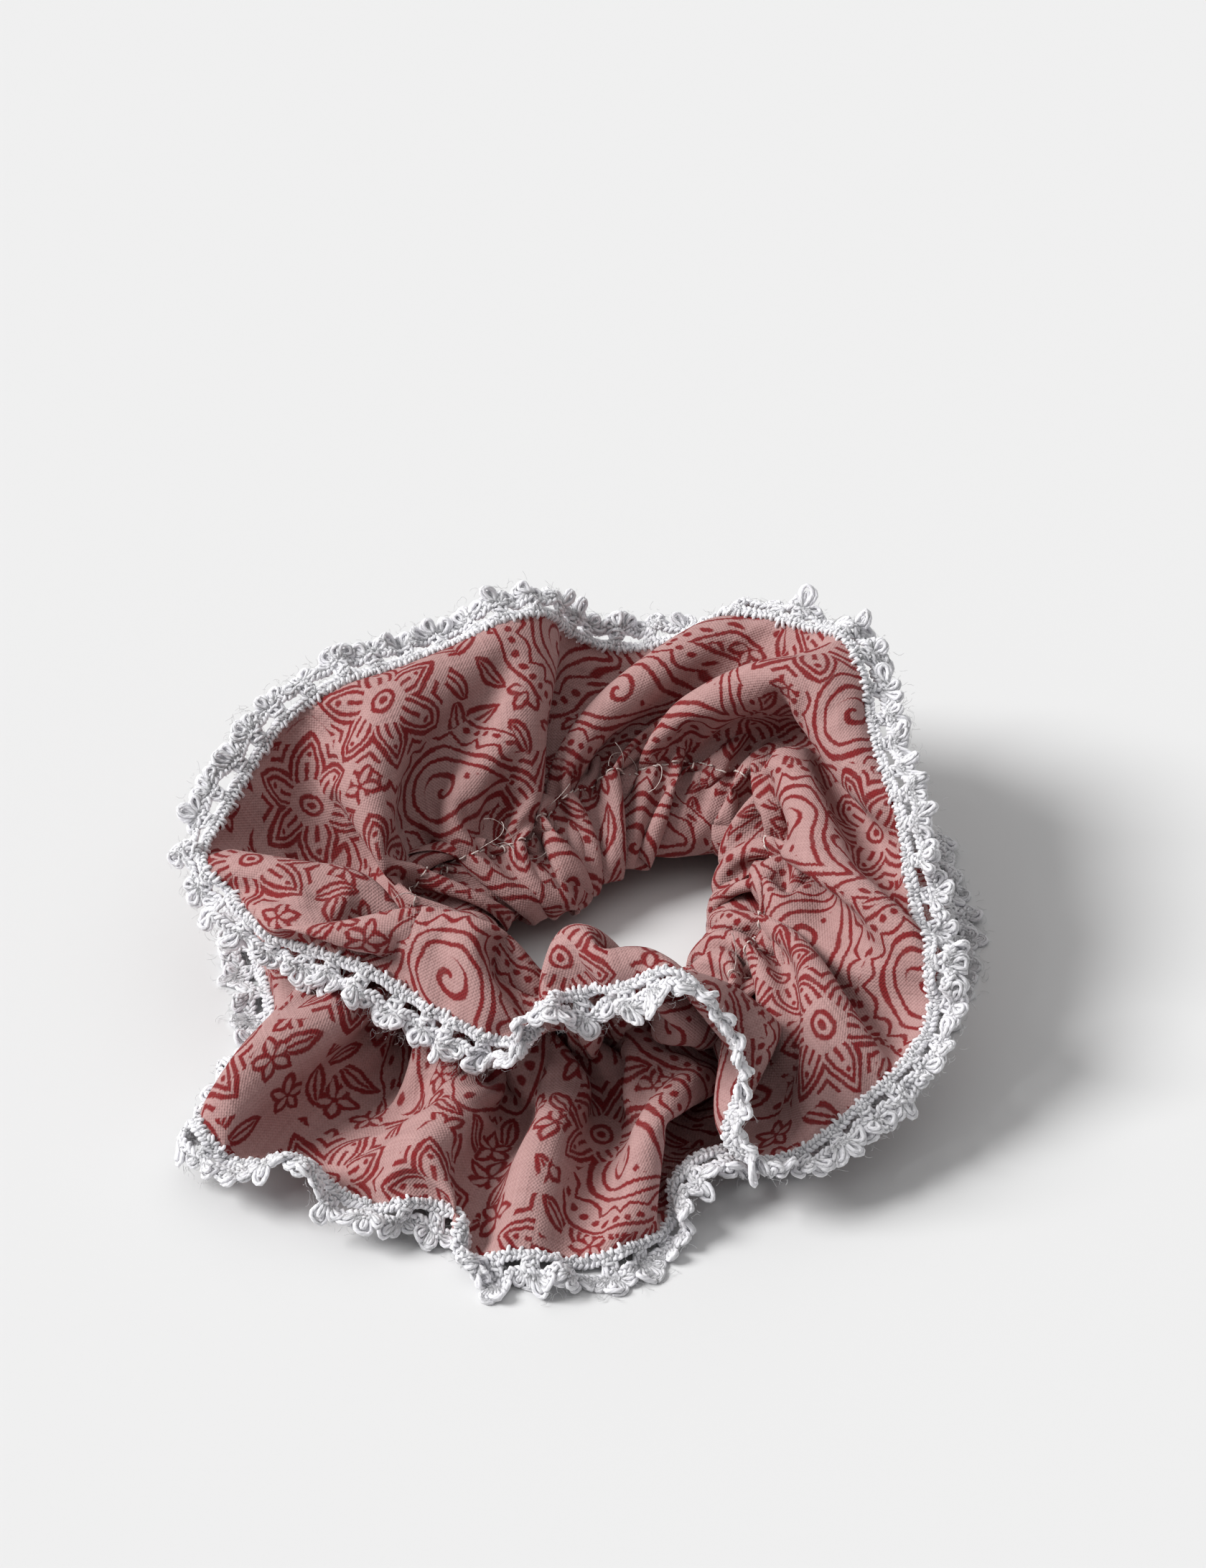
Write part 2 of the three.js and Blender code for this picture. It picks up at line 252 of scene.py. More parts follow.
def lay_out_strip():
    rng = np.random.default_rng(11)
    share = np.arange(COLUMNS) / COLUMNS
    upper_loop, lower_loop = Loop(UPPER_RIM, UPPER_SLACK), Loop(LOWER_RIM, LOWER_SLACK)
    seam_loop, hole_loop = Loop(SEAM), Loop(HOLE)
    upper_rim, lower_rim = upper_loop.at(share), lower_loop.at(share)
    facing = 0.5 * (bearing_round(upper_rim) + bearing_round(lower_rim))
    even = seam_loop.share_at_bearing(-np.pi / 2) + share
    seam = seam_loop.at(0.65 * seam_loop.share_at_bearing(facing) + 0.35 * even)
    hole = hole_loop.at(hole_loop.share_at_bearing(bearing_round(seam, HOLE_CENTRE), HOLE_CENTRE))

    place = np.zeros((COLUMNS, ROWS, 3))
    pull = np.zeros((COLUMNS, ROWS))
    # the lace of the front flap turns up
    from_flap = (share - upper_loop.share_of_point(3) + 0.5) % 1 - 0.5
    upturned = 1.1 * np.exp(-(from_flap / 0.06) ** 2)
    upper, upper_pull = ruffle_surface(seam + HALF_GAP * UP, upper_rim, UPPER_CELLS, 4, upturned,
                                       UPPER_FOLDS, upper_loop, share)
    lower, lower_pull = ruffle_surface(seam - HALF_GAP * UP, lower_rim, LOWER_CELLS, 2, 0 * share,
                                       LOWER_FOLDS, lower_loop, share)
    place[:, :UPPER_SEAM + 1] = upper[:, ::-1]
    pull[:, :UPPER_SEAM + 1] = upper_pull[:, ::-1]
    place[:, UPPER_SEAM:LOWER_SEAM + 1] = casing_surface(seam, hole)
    place[:, LOWER_SEAM:] = lower
    pull[:, LOWER_SEAM:] = lower_pull

    # gathers: fine ones at the seams, half as many further out, and a quarter as many near the rims
    fine = np.where(IN_CASING, 3.3, 3.5 * np.exp(-(FROM_SEAM / 9) ** 2))
    middle = np.where(IN_CASING, 0, 4.5 * FROM_SEAM / 12 * np.exp(1 - FROM_SEAM / 12))
    broad = np.where(IN_CASING, 0, 1.6 * FROM_SEAM / 30 * np.exp(1 - FROM_SEAM / 30))
    phase = pleat_phase(rng)
    wave = np.zeros((COLUMNS, ROWS))
    for size, halvings in ((fine, 0), (middle, 1), (broad, 2)):
        varied = 1 + 0.3 * round_noise(rng, waves=30)
        wave += size * (varied * np.sin(phase / 2 ** halvings + rng.uniform(0, 2 * np.pi)))[:, None]
    wave *= 1 - 0.8 * pull
    wave[:, IN_CASING] = np.maximum(wave[:, IN_CASING], -1.2)
    cloth = place + surface_normal(place) * wave[..., None] + rng.normal(0, 0.08, place.shape)
    cloth[..., 2] = np.maximum(cloth[..., 2], 0.5)
    return cloth, place, pull, smooth_round(0.5 * (seam + hole), 8)


# ---- Cloth solver: position-based, on a grid that is closed round the loop
ALL, ALL_BUT_LAST, ALL_BUT_FIRST = slice(None), slice(None, -1), slice(1, None)


class Settler:
    """Keeps every cell near its flat size while the strip falls a little and its walls stay apart."""

    KEPT_SPEED = 0.93                  # per step
    FALL = 0.004                       # millimetres per step, each step
    FOLD_PULL = 0.08                   # how far a step draws the listed folds,
    OUTER_PULL = 0.002                 # the outer parts of the ruffles
    LACE_PULL = 0.01                   # and the lace's edges back to where they were laid out
    FLOOR = 0.4                        # the lowest a point may lie
    EDGE_HOLD = 0.04                   # how far a sweep draws the rims, the seams and the casing's fold
    SEAM_HOLD = 0.15                   # back to where they were laid out

    def __init__(self, cloth, place, pull, core):
        self.x = np.ascontiguousarray(cloth.transpose(2, 0, 1)).astype(np.float32)
        self.place = np.ascontiguousarray(place.transpose(2, 0, 1)).astype(np.float32)
        self.ds = np.float32(COLUMN_WIDTH)
        self.dt = CELL_WIDTHS.astype(np.float32)
        self.outer = np.where(IN_CASING, 0, np.clip((FROM_SEAM - 6) / 24, 0, 1)).astype(np.float32)
        self.pull = (self.FOLD_PULL * pull + self.OUTER_PULL * self.outer).astype(np.float32)
        self.pull[:, [0, -1]] = self.LACE_PULL
        self.fold = UPPER_SEAM + CASING_CELLS // 2
        self.seams = [UPPER_SEAM, LOWER_SEAM]
        self.edges = [UPPER_EDGE, LOWER_EDGE]
        self.core = core.T[:, :, None].astype(np.float32)
        self.core_way = unit(np.roll(core, -1, axis=0) - np.roll(core, 1, axis=0)).T[:, :, None]

    def hold(self, one, two, rest, share, only_short=False):
        """Moves both ends of links by a share of what is missing to their rest length."""
        a, b = self.x[one], self.x[two]
        d = b - a
        length = np.sqrt(d[0] * d[0] + d[1] * d[1] + d[2] * d[2]) + 1e-6
        c = (length - rest) / length
        if only_short:
            c = np.minimum(c, 0)
        d *= (0.5 * share) * c
        self.x[one] = a + d
        self.x[two] = b - d

    def hold_along(self, step, share, only_short=False):
        index = np.arange(COLUMNS)
        for colour in range(2):
            one = index[(index // step) % 2 == colour]
            self.hold((ALL, one), (ALL, (one + step) % COLUMNS), step * self.ds, share, only_short)

    def hold_across(self, step, share, only_short=False):
        rest = np.convolve(self.dt, np.ones(step, np.float32), "valid").astype(np.float32)
        index = np.arange(len(self.dt) + 1 - step)
        for colour in range(2):
            one = index[(index // step) % 2 == colour]
            self.hold((ALL, ALL, one), (ALL, ALL, one + step), rest[one][None], share, only_short)

    def hold_diagonal(self, near, far, share):
        rest = np.sqrt(self.ds ** 2 + self.dt ** 2)[None].astype(np.float32)
        for colour in range(2):
            one = np.arange(colour, COLUMNS, 2)
            self.hold((ALL, one, near), (ALL, (one + 1) % COLUMNS, far), rest, share)

    def part_pleats(self, clearance=0.9):
        """Walls of the pleats, which are 4 to 14 columns apart on the cloth, keep clear of each other."""
        for k in range(4, 15):
            d = np.roll(self.x, -k, axis=1) - self.x
            length = np.sqrt((d * d).sum(0)) + 1e-6
            push = d * (0.25 * np.maximum(clearance - length, 0) / length)
            self.x -= push
            self.x += np.roll(push, k, axis=1)

    def part_ruffles(self, clearance=1.2, cell=2.0, free=5):
        """The upper ruffle stays above the lower one wherever it lies over it."""
        size = 120
        upper = self.x[:, :, :UPPER_SEAM - free].reshape(3, -1)
        lower = self.x[:, :, LOWER_SEAM + free:].reshape(3, -1)
        where = [np.clip((p[:2] / cell + size / 2).astype(int), 0, size - 1) for p in (upper, lower)]
        top = np.full((size, size), -99, np.float32)
        np.maximum.at(top, (where[1][0], where[1][1]), lower[2])
        bottom = np.full((size, size), 99, np.float32)
        np.minimum.at(bottom, (where[0][0], where[0][1]), upper[2])
        overlap = np.clip(top + clearance - bottom, 0, 2)
        lift = np.where(upper[2] < (bottom + overlap)[where[0][0], where[0][1]],
                        0.3 * overlap[where[0][0], where[0][1]], 0)
        drop = np.where(lower[2] > (top - overlap)[where[1][0], where[1][1]],
                        0.3 * overlap[where[1][0], where[1][1]], 0)
        self.x[2, :, :UPPER_SEAM - free] += lift.reshape(COLUMNS, -1)
        self.x[2, :, LOWER_SEAM + free:] -= drop.reshape(COLUMNS, -1)

    def clear_elastic(self, thick=2.3, high=3.2):
        """The casing keeps clear of the elastic that runs along its middle."""
        tube = self.x[:, :, UPPER_SEAM + 1:LOWER_SEAM]
        away = tube - self.core
        away -= self.core_way * (away * self.core_way).sum(0)
        size = np.sqrt((away[0] ** 2 + away[1] ** 2) / thick ** 2 + away[2] ** 2 / high ** 2) + 1e-3
        tube += away * (0.5 * np.clip(1 / size - 1, 0, 1))

    def run(self, steps, sweeps):
        x = self.x
        speed = np.zeros_like(x)
        anchors = ((self.edges, self.place[:, :, self.edges], self.EDGE_HOLD),
                   (self.seams, x[:, :, self.seams].copy(), self.SEAM_HOLD),
                   (self.fold, self.place[:, :, self.fold], self.EDGE_HOLD))
        for step in range(steps):
            before = x.copy()
            x += speed * self.KEPT_SPEED
            x[2] -= self.FALL
            x += self.pull * (self.place - x)
            for sweep in range(sweeps):
                # neighbours keep their distance; points 2, 4 and 8 cells apart only resist coming closer,
                # which makes the cloth stiff enough to bend in rounds and not in zigzags
                self.hold_along(1, 1.0)
                self.hold_across(1, 1.0)
                self.hold_diagonal(ALL_BUT_LAST, ALL_BUT_FIRST, 0.25)
                self.hold_diagonal(ALL_BUT_FIRST, ALL_BUT_LAST, 0.25)
                self.hold_along(2, 0.12, True)
                self.hold_across(2, 0.12, True)
                if sweep % 3 == 0:
                    self.hold_along(4, 0.02 + 0.08 * self.outer, True)
                    self.hold_across(4, 0.05, True)
                if sweep % 3 == 1:
                    self.hold_along(8, 0.06 * self.outer, True)
                    self.hold_across(8, 0.03, True)
                for rows, laid_out, hold in anchors:
                    x[:, :, rows] += hold * (laid_out - x[:, :, rows])
                np.maximum(x[2], self.FLOOR, out=x[2])
                if sweep % 3 == 2:
                    self.clear_elastic()
            self.part_pleats()
            if step % 2:
                self.part_ruffles()
            speed = x - before
        return x.transpose(1, 2, 0).astype(float)


def placed(name, data):
    """A new object in the scene."""
    thing = bpy.data.objects.new(name, data)
    bpy.context.scene.collection.objects.link(thing)
    return thing


def add_piece(name, points, faces, uv_name, uvs, material):
    """A smooth-shaded mesh from points in millimetres about the ring's centre."""
    mesh = bpy.data.meshes.new(name)
    mesh.from_pydata(((points.reshape(-1, 3) + np.array([*RING_CENTRE, 0])) * MM).tolist(), [], faces)
    mesh.uv_layers.new(name=uv_name).data.foreach_set("uv", uvs.ravel().astype(np.float32))
    mesh.polygons.foreach_set("use_smooth", np.ones(len(faces), bool))
    mesh.materials.append(material)
    return placed(name, mesh)


def cloth_piece(name, grid, first_row, material, closed=True, flat_start=0.0):
    """A grid of cloth, closed round the loop or not, with the place on the flat cloth as its UV map."""
    columns, rows = grid.shape[:2]
    cells = columns if closed else columns - 1
    i, j = [k.ravel() for k in np.meshgrid(np.arange(cells), np.arange(rows - 1), indexing="ij")]
    after = (i + 1) % columns
    faces = np.stack([i * rows + j, i * rows + j + 1, after * rows + j + 1, after * rows + j], -1)
    u = np.stack([i, i, i + 1, i + 1], -1) * COLUMN_WIDTH * MM + flat_start
    v = ROW_PLACES[first_row + np.stack([j, j + 1, j + 1, j], -1)] * MM
    return add_piece(name, grid, faces.tolist(), "cloth", np.stack([u, v], -1), material)


def seam_allowance(name, cloth, first_row, last_row, material):
    """The turned-back ends of the strip where they are joined, on the cloth's wrong side."""
    from_middle = np.arange(-SIDE_SEAM_HALF, SIDE_SEAM_HALF + 1)
    here = np.ix_(SIDE_SEAM_COLUMN + from_middle, np.arange(first_row, last_row + 1))
    lift = 0.45 + 0.4 * np.exp(-(from_middle / 1.2) ** 2)
    grid = cloth[here] - surface_normal(cloth)[here] * lift[:, None, None]
    return cloth_piece(name, grid, first_row, material, closed=False, flat_start=0.6)


# ---- Crochet: yarn laid out on the lace's strip, in millimetres along the edge, outward and upward
LACE_UNITS = 70                    # posts, and fans of picots, round each ruffle
YARN_RADIUS = 0.41
EDGE_STITCH_RADIUS = 0.33
WRAP_RADIUS = 0.36
LACE_SLACK = 1.75                  # how far the outer lace strays from its even place
FUZZ_RADIUS = 0.028
FUZZ_COUNT = 3600                  # loose fibres on each edging
THREAD_RADIUS = 0.17
LOOSE_THREAD_RADIUS = 0.075
LOOSE_ENDS = 24
ELASTIC_WIDTH = 5.0
ELASTIC_STRANDS = 7
ELASTIC_STRAND = 0.4               # radius
ELASTIC_LAP = 12.0


class Ground:
    """A few rows of the settled strip, to lay yarn on: along it, out from one row, and off its face."""

    def __init__(self, cloth, first_row, outward, reach=(-2, LACE_CELLS), slack=0.0, seed=5):
        rng = np.random.default_rng(seed)
        rows = first_row + outward * np.arange(reach[0], reach[1] + 1)
        self.out = (ROW_PLACES[rows] - ROW_PLACES[first_row]) * outward
        fine = 4                       # points for each column of the cloth
        rough = np.fft.rfft(cloth[:, rows], axis=0)
        self.grid = np.fft.irfft(rough, COLUMNS * fine, axis=0) * fine
        self.normal = surface_normal(self.grid) * outward
        self.step = STRIP_LENGTH / (COLUMNS * fine)
        self.slack = [slack * smooth_round(rng.normal(0, 1, COLUMNS * fine), 3.5) for _ in range(2)]

    def at(self, points):
        """Places on the strip to places in the room."""
        a = points[..., 0] / self.step
        i = np.floor(a).astype(int)
        u = (a - i)[..., None]
        i %= len(self.grid)
        loose = np.clip(points[..., 1] / 4, 0, 1)
        b = points[..., 1] + self.slack[0][i] * loose
        c = points[..., 2] + 1.6 * self.slack[1][i] * loose
        j = np.clip(np.searchsorted(self.out, b) - 1, 0, len(self.out) - 2)
        v = ((b - self.out[j]) / (self.out[j + 1] - self.out[j]))[..., None]
        after = (i + 1) % len(self.grid)

        def blend(grid):
            near = grid[i, j] * (1 - u) + grid[after, j] * u
            far = grid[i, j + 1] * (1 - u) + grid[after, j + 1] * u
            return near * (1 - v) + far * v

        places = blend(self.grid) + unit(blend(self.normal)) * c[..., None]
        soft = 0.3
        places[..., 2] = YARN_RADIUS + soft * np.logaddexp(0, (places[..., 2] - YARN_RADIUS) / soft)
        return places


def tubes(paths, radius, sides=5, closed=False):
    """Round strands along paths (strand, point, 3): vertices, faces and a UV map of length and turn."""
    count, length = paths.shape[:2]
    if closed:
        run = np.roll(paths, -1, axis=1) - np.roll(paths, 1, axis=1)
    else:
        run = np.gradient(paths, axis=1)
    run = unit(run)
    side = np.zeros_like(paths)
    start = np.where(np.abs(run[:, 0, 2:]) < 0.8, [[0, 0, 1.0]], [[1.0, 0, 0]])
    side[:, 0] = unit(start - run[:, 0] * (start * run[:, 0]).sum(-1, keepdims=True))
    for k in range(1, length):
        last = side[:, k - 1]
        side[:, k] = unit(last - run[:, k] * (last * run[:, k]).sum(-1, keepdims=True))
    other = np.cross(run, side)
    turn = np.arange(sides) / sides * 2 * np.pi
    radius = np.broadcast_to(np.asarray(radius, float), (count, length))
    if closed:
        back = unit(side[:, -1] - run[:, 0] * (side[:, -1] * run[:, 0]).sum(-1, keepdims=True))
        slip = np.arctan2((np.cross(side[:, 0], back) * run[:, 0]).sum(-1), (side[:, 0] * back).sum(-1))
        turn = turn[None, None] - slip[:, None, None] * (np.arange(length) / length)[None, :, None]
    else:
        turn = np.broadcast_to(turn, (count, length, sides))
    ring = side[:, :, None] * np.cos(turn)[..., None] + other[:, :, None] * np.sin(turn)[..., None]
    verts = paths[:, :, None] + ring * radius[:, :, None, None]
    last_ring = length if closed else length - 1
    n, m, s = np.meshgrid(np.arange(count), np.arange(last_ring), np.arange(sides), indexing="ij")
    here, ahead = (n * length + m) * sides, (n * length + (m + 1) % length) * sides
    beside = (s + 1) % sides
    faces = np.stack([here + s, here + beside, ahead + beside, ahead + s], -1).reshape(-1, 4)
    step = np.linalg.norm(np.diff(paths, axis=1, append=paths[:, :1]), axis=-1)
    far = np.concatenate([np.zeros((count, 1)), np.cumsum(step, axis=1)], axis=1)
    lengthwise = np.stack([far[n, m], far[n, m], far[n, m + 1], far[n, m + 1]], -1)
    around = np.stack([s, s + 1, s + 1, s], -1) / sides
    uv = np.stack([lengthwise * MM, around], -1).reshape(-1, 4, 2)
    caps = []
    if not closed:
        first = np.arange(count)[:, None] * length * sides + np.arange(sides)[::-1]
        last = np.arange(count)[:, None] * length * sides + (length - 1) * sides + np.arange(sides)
        caps = np.concatenate([first, last])
    return verts.reshape(-1, 3), faces, uv, caps


def yarn_piece(name, groups, material):
    """One mesh of many strands; groups are what tubes() gives."""
    verts, faces, uvs, start = [], [], [], 0
    for group_verts, group_faces, group_uv, caps in groups:
        verts.append(group_verts)
        faces += (group_faces + start).tolist()
        uvs.append(group_uv.reshape(-1, 2))
        if len(caps):
            faces += (caps + start).tolist()
            uvs.append(np.zeros((caps.size, 2)))
        start += len(group_verts)
    return add_piece(name, np.concatenate(verts), faces, "yarn", np.concatenate(uvs), material)


def plait(length, out, half_width, pitch, thick, wander=None):
    """Three strands plaited round the whole edge."""
    strands = []
    steps = int(length / 0.42)
    a = np.arange(steps) / steps * length
    turns = round(length / pitch)
    for k in range(3):
        phase = 2 * np.pi * (turns * a / length + k / 3)
        b = out + half_width * np.sin(phase) + (0 if wander is None else wander(a))
        strands.append(np.stack([a, b, thick * np.sin(2 * phase)], -1))
    return np.array(strands)


def spaced(rng, length, spacing, stray):
    """Places along the edge, about this far apart."""
    count = round(length / spacing)
    return (np.arange(count) + rng.normal(0, stray, count)) * length / count


def edge_stitches(rng, length, spacing=1.35):
    """Blanket stitches that wrap the cloth's edge."""
    a = spaced(rng, length, spacing, 0.12)
    count = len(a)
    reach = np.clip(0.35 + rng.normal(0, 0.3, count), 0, 1.4)
    lean = rng.normal(0, 0.35, count)
    t = np.linspace(0.06, 0.94, 9) * 2 * np.pi
    b = 0.9 - (0.5 + 0.5 * np.cos(t + np.pi))[None] * (0.9 + reach)[:, None]
    c = 0.62 * np.sin(t)[None] + 0 * b
    return np.stack([a[:, None] + lean[:, None] * b, b, c], -1)


def posts(rng, centres):
    """Bundles of strands that stand between the holes, a little spread at the head."""
    t = np.linspace(0, 1, 8)
    paths = []
    for foot, head, depth in ((-0.9, -1.6, 0.1), (-0.5, -0.8, 0.45), (-0.1, -0.1, -0.4), (0.4, 0.7, 0.45),
                              (0.9, 1.6, 0.1)):
        twist = rng.uniform(-0.25, 0.25, len(centres))[:, None]
        a = centres[:, None] + foot + (head - foot) * t ** 1.5 + twist * np.sin(2 * np.pi * t)
        c = depth * np.cos(1.5 * np.pi * t) + rng.normal(0, 0.05, len(centres))[:, None]
        paths.append(np.stack([a, np.broadcast_to(0.8 + 3.6 * t, a.shape), c], -1))
    return np.concatenate(paths)


def wraps(rng, centres):
    """Slanted turns of yarn round each post."""
    t = np.linspace(0, 2 * np.pi, 11)
    paths = []
    for level in (2.0, 3.3):
        wide = (1.0 + 0.22 * (level - 2.0) + rng.normal(0, 0.08, len(centres)))[:, None]
        tilt = rng.normal(0, 0.35, len(centres))[:, None]
        a = centres[:, None] + wide * np.cos(t)
        b = level + tilt * np.cos(t) + 0.25 * np.sin(t)
        paths.append(np.stack([a, b, 0.5 * np.sin(t) + 0 * a], -1))
    return np.concatenate(paths)


def picots(rng, centres):
    """Fans of long loops, each loop of three strands side by side."""
    t = np.linspace(0, np.pi, 12)
    paths = []
    for spread in (-1.1, -0.35, 0.35, 1.1):
        count = len(centres)
        bearing = np.radians(spread * 46 + rng.normal(0, 15, count))[:, None]
        size = (0.95 + rng.normal(0, 0.12, count))[:, None]
        lift = rng.normal(0, 0.6, count)[:, None]
        curl = rng.normal(0, 0.08, count)[:, None]
        for wide, long, level in ((1.3, 3.4, 0.0), (0.8, 3.1, 0.45), (0.3, 2.7, -0.3)):
            x = wide * size * np.sin(2 * t) * (0.75 + 0.25 * np.sin(t))
            y = long * size * np.sin(t) * (1 - 0.08 * abs(spread))
            a = centres[:, None] + spread * 0.85 + x * np.cos(bearing) + y * np.sin(bearing)
            b = 4.2 + y * np.cos(bearing) - x * np.sin(bearing)
            c = level * (0.5 + 0.5 * np.sin(t)) + lift * y / long + curl * y ** 2
            paths.append(np.stack([a, b, c], -1))
    return np.concatenate(paths)


def fuzz(rng, count, length):
    """Loose fibres that stand off the yarn."""
    ranges = (0, length), (0, LACE_WIDTH + 0.5), (0.6, 1.9), (0, 2 * np.pi), (-1, 1)
    a, b, reach, way, rise = [rng.uniform(low, high, (count, 1)) for low, high in ranges]
    bend = rng.normal(0, 1.1, (count, 1))
    t = np.linspace(0, 1, 5)[None]
    return np.stack([a + reach * t * np.cos(way + bend * t), b + reach * t * np.sin(way + bend * t),
                     rise * (0.3 + reach * t * 0.8)], -1)


def running_stitches(rng, length, spacing=3.0):
    """Stitches that dip through the cloth and back."""
    start = spaced(rng, length, spacing, 0.08)[:, None]
    count = len(start)
    t = np.linspace(0, 1, 7)
    a = start + 2.1 * t
    b = rng.normal(0, 0.15, count)[:, None] + 0 * a
    return np.stack([a, b, 0.5 * np.sin(np.pi * t) - 0.25 + 0 * a], -1)


def loose_ends(rng, ground, count):
    """Thread ends that curl out of the stitching and lie over the cloth."""
    at = np.zeros((count, 2, 3))
    at[:, :, 0] = rng.uniform(0, STRIP_LENGTH, count)[:, None]
    at[:, 1, 2] = 1
    place, off = ground.at(at).transpose(1, 0, 2)
    way = unit(unit(off - place) + UP * 0.5 + rng.normal(0, 0.7, (count, 3)))
    bend = rng.normal(0, 0.11, (count, 3))
    step = rng.uniform(0.35, 0.8, count)[:, None]
    path = [place]
    for _ in range(15):
        path.append(path[-1] + way * step)
        way = unit(way + np.cross(bend, way) + rng.normal(0, 0.06, (count, 3)) - UP * 0.05)
    path = np.array(path).transpose(1, 0, 2)
    path[..., 2] = np.maximum(path[..., 2], 0.4)
    return path


def stitching(cloth, material):
    """The row of stitches on both faces of the gathered seam, with its loose ends."""
    rng = np.random.default_rng(21)
    above = Ground(cloth, UPPER_SEAM, -1, reach=(-3, 3))
    below = Ground(cloth, LOWER_SEAM, 1, reach=(-3, 3))
    rows = [tubes(ground.at(running_stitches(rng, STRIP_LENGTH)), THREAD_RADIUS) for ground in (above, below)]
    ends = tubes(loose_ends(rng, above, LOOSE_ENDS), LOOSE_THREAD_RADIUS, sides=4)
    return yarn_piece("casing_stitching", [*rows, ends], material)


class Core:
    """The line along the middle of the casing, for the elastic: along it, up, and outward."""

    def __init__(self, line):
        self.line = np.vstack([line, line[:1]])
        self.run = np.r_[0, np.cumsum(np.linalg.norm(np.diff(self.line, axis=0), axis=1))]
        self.length = self.run[-1]

    def on(self, a):
        return np.stack([np.interp(a % self.length, self.run, self.line[:, k]) for k in range(3)], -1)

    def at(self, points):
        a = points[..., 0]
        ahead = unit(self.on(a + 0.5) - self.on(a - 0.5))
        outward = unit(np.cross(ahead, UP))
        up = np.cross(outward, ahead)
        return self.on(a) + up * points[..., 1:2] + outward * points[..., 2:]


def elastic(core, material, thread):
    """A flat braid of covered rubber, its ends lapped and held by a bar of zigzag stitches."""
    a = np.arange(0, core.length + ELASTIC_LAP, 0.6)
    inside = 1.2 * np.clip((a - core.length) / 3 + 1, 0, 1)
    strands = []
    for k in range(ELASTIC_STRANDS):
        phase = 2 * np.pi * (a / 9 + k / ELASTIC_STRANDS)
        across = (ELASTIC_WIDTH / 2 - ELASTIC_STRAND) * np.arcsin(np.sin(phase)) * 2 / np.pi
        strands.append(np.stack([a, across, 0.25 * np.cos(phase) - inside], -1))
    braid = yarn_piece("elastic", [tubes(core.at(np.array(strands)), ELASTIC_STRAND)], material)
    t = np.linspace(0, 1, 90)
    zigzag = np.arcsin(np.sin(t * 2 * np.pi * 11)) * 2 / np.pi * (ELASTIC_WIDTH / 2 - 0.4)
    bars = [np.stack([core.length + 2 + 5 * t, zigzag, 0 * t + depth], -1) for depth in (-2.0, 0.8)]
    tack = yarn_piece("elastic_tack", [tubes(core.at(np.array(bars)), THREAD_RADIUS)], thread)
    return braid, tack


def crochet(name, ground, seed, material):
    """The edging of one ruffle, as a worked edge and a row of picots."""
    rng = np.random.default_rng(seed)
    length = STRIP_LENGTH
    pitch = length / LACE_UNITS
    centres = (np.arange(LACE_UNITS) + rng.normal(0, 0.07, LACE_UNITS)) * pitch

    def sag(a):
        return 0.35 * np.cos(2 * np.pi * a / pitch)

    inner = plait(length, out=0.85, half_width=0.75, pitch=3.0, thick=0.45)
    outer = plait(length, out=4.1, half_width=0.75, pitch=3.1, thick=0.4, wander=sag)
    worked = [tubes(ground.at(inner), YARN_RADIUS, closed=True),
              tubes(ground.at(edge_stitches(rng, length)), EDGE_STITCH_RADIUS),
              tubes(ground.at(posts(rng, centres)), YARN_RADIUS),
              tubes(ground.at(wraps(rng, centres)), WRAP_RADIUS)]
    fans = [tubes(ground.at(outer), YARN_RADIUS, closed=True),
            tubes(ground.at(picots(rng, centres)), YARN_RADIUS),
            tubes(ground.at(fuzz(rng, FUZZ_COUNT, length)), FUZZ_RADIUS, sides=3)]
    return yarn_piece(name + "_edge", worked, material), yarn_piece(name + "_picots", fans, material)


# ---- Materials: numbers over the surface, built from Math nodes
def add_node(tree, kind, inputs, **settings):
    """A shader node; each of its inputs is given as a number, a colour, a Field or a socket."""
    node = tree.nodes.new("ShaderNode" + kind)
    for name, value in settings.items():
        setattr(node, name, value)
    for key, value in inputs.items():
        value = value.socket if isinstance(value, Field) else value
        if isinstance(value, bpy.types.NodeSocket):
            tree.links.new(value, node.inputs[key])
        else:
            node.inputs[key].default_value = value
    return node


class Field:
    """A number that varies over the surface; arithmetic on it adds Math nodes."""

    def __init__(self, socket):
        self.socket = socket
        self.tree = socket.id_data

    def math(self, operation, *others):
        node = add_node(self.tree, "Math", dict(enumerate((self, *others))), operation=operation)
        return Field(node.outputs[0])

    def __rsub__(self, other):
        return (self * -1) + other

    def fade(self, zero, one):
        """0 at the first value, 1 at the second, smooth between."""
        inputs = {"Value": self, "From Min": zero, "From Max": one}
        node = add_node(self.tree, "MapRange", inputs, interpolation_type="SMOOTHSTEP")
        return Field(node.outputs["Result"])


for method, operation in {"__add__": "ADD", "__radd__": "ADD", "__sub__": "SUBTRACT",
                          "__mul__": "MULTIPLY", "__rmul__": "MULTIPLY", "__truediv__": "DIVIDE",
                          "abs": "ABSOLUTE", "sin": "SINE", "cos": "COSINE", "root": "SQRT",
                          "fract": "FRACT", "floor": "FLOOR", "least": "MINIMUM", "most": "MAXIMUM",
                          "below": "LESS_THAN", "above": "GREATER_THAN", "bearing": "ARCTAN2"}.items():
    setattr(Field, method, partialmethod(Field.math, operation))


def choose(first, second, share):
    """The first where share is 0, the second where it is 1."""
    return first + (second - first) * share


def hypot(x, y):
    return (x * x + y * y).root()


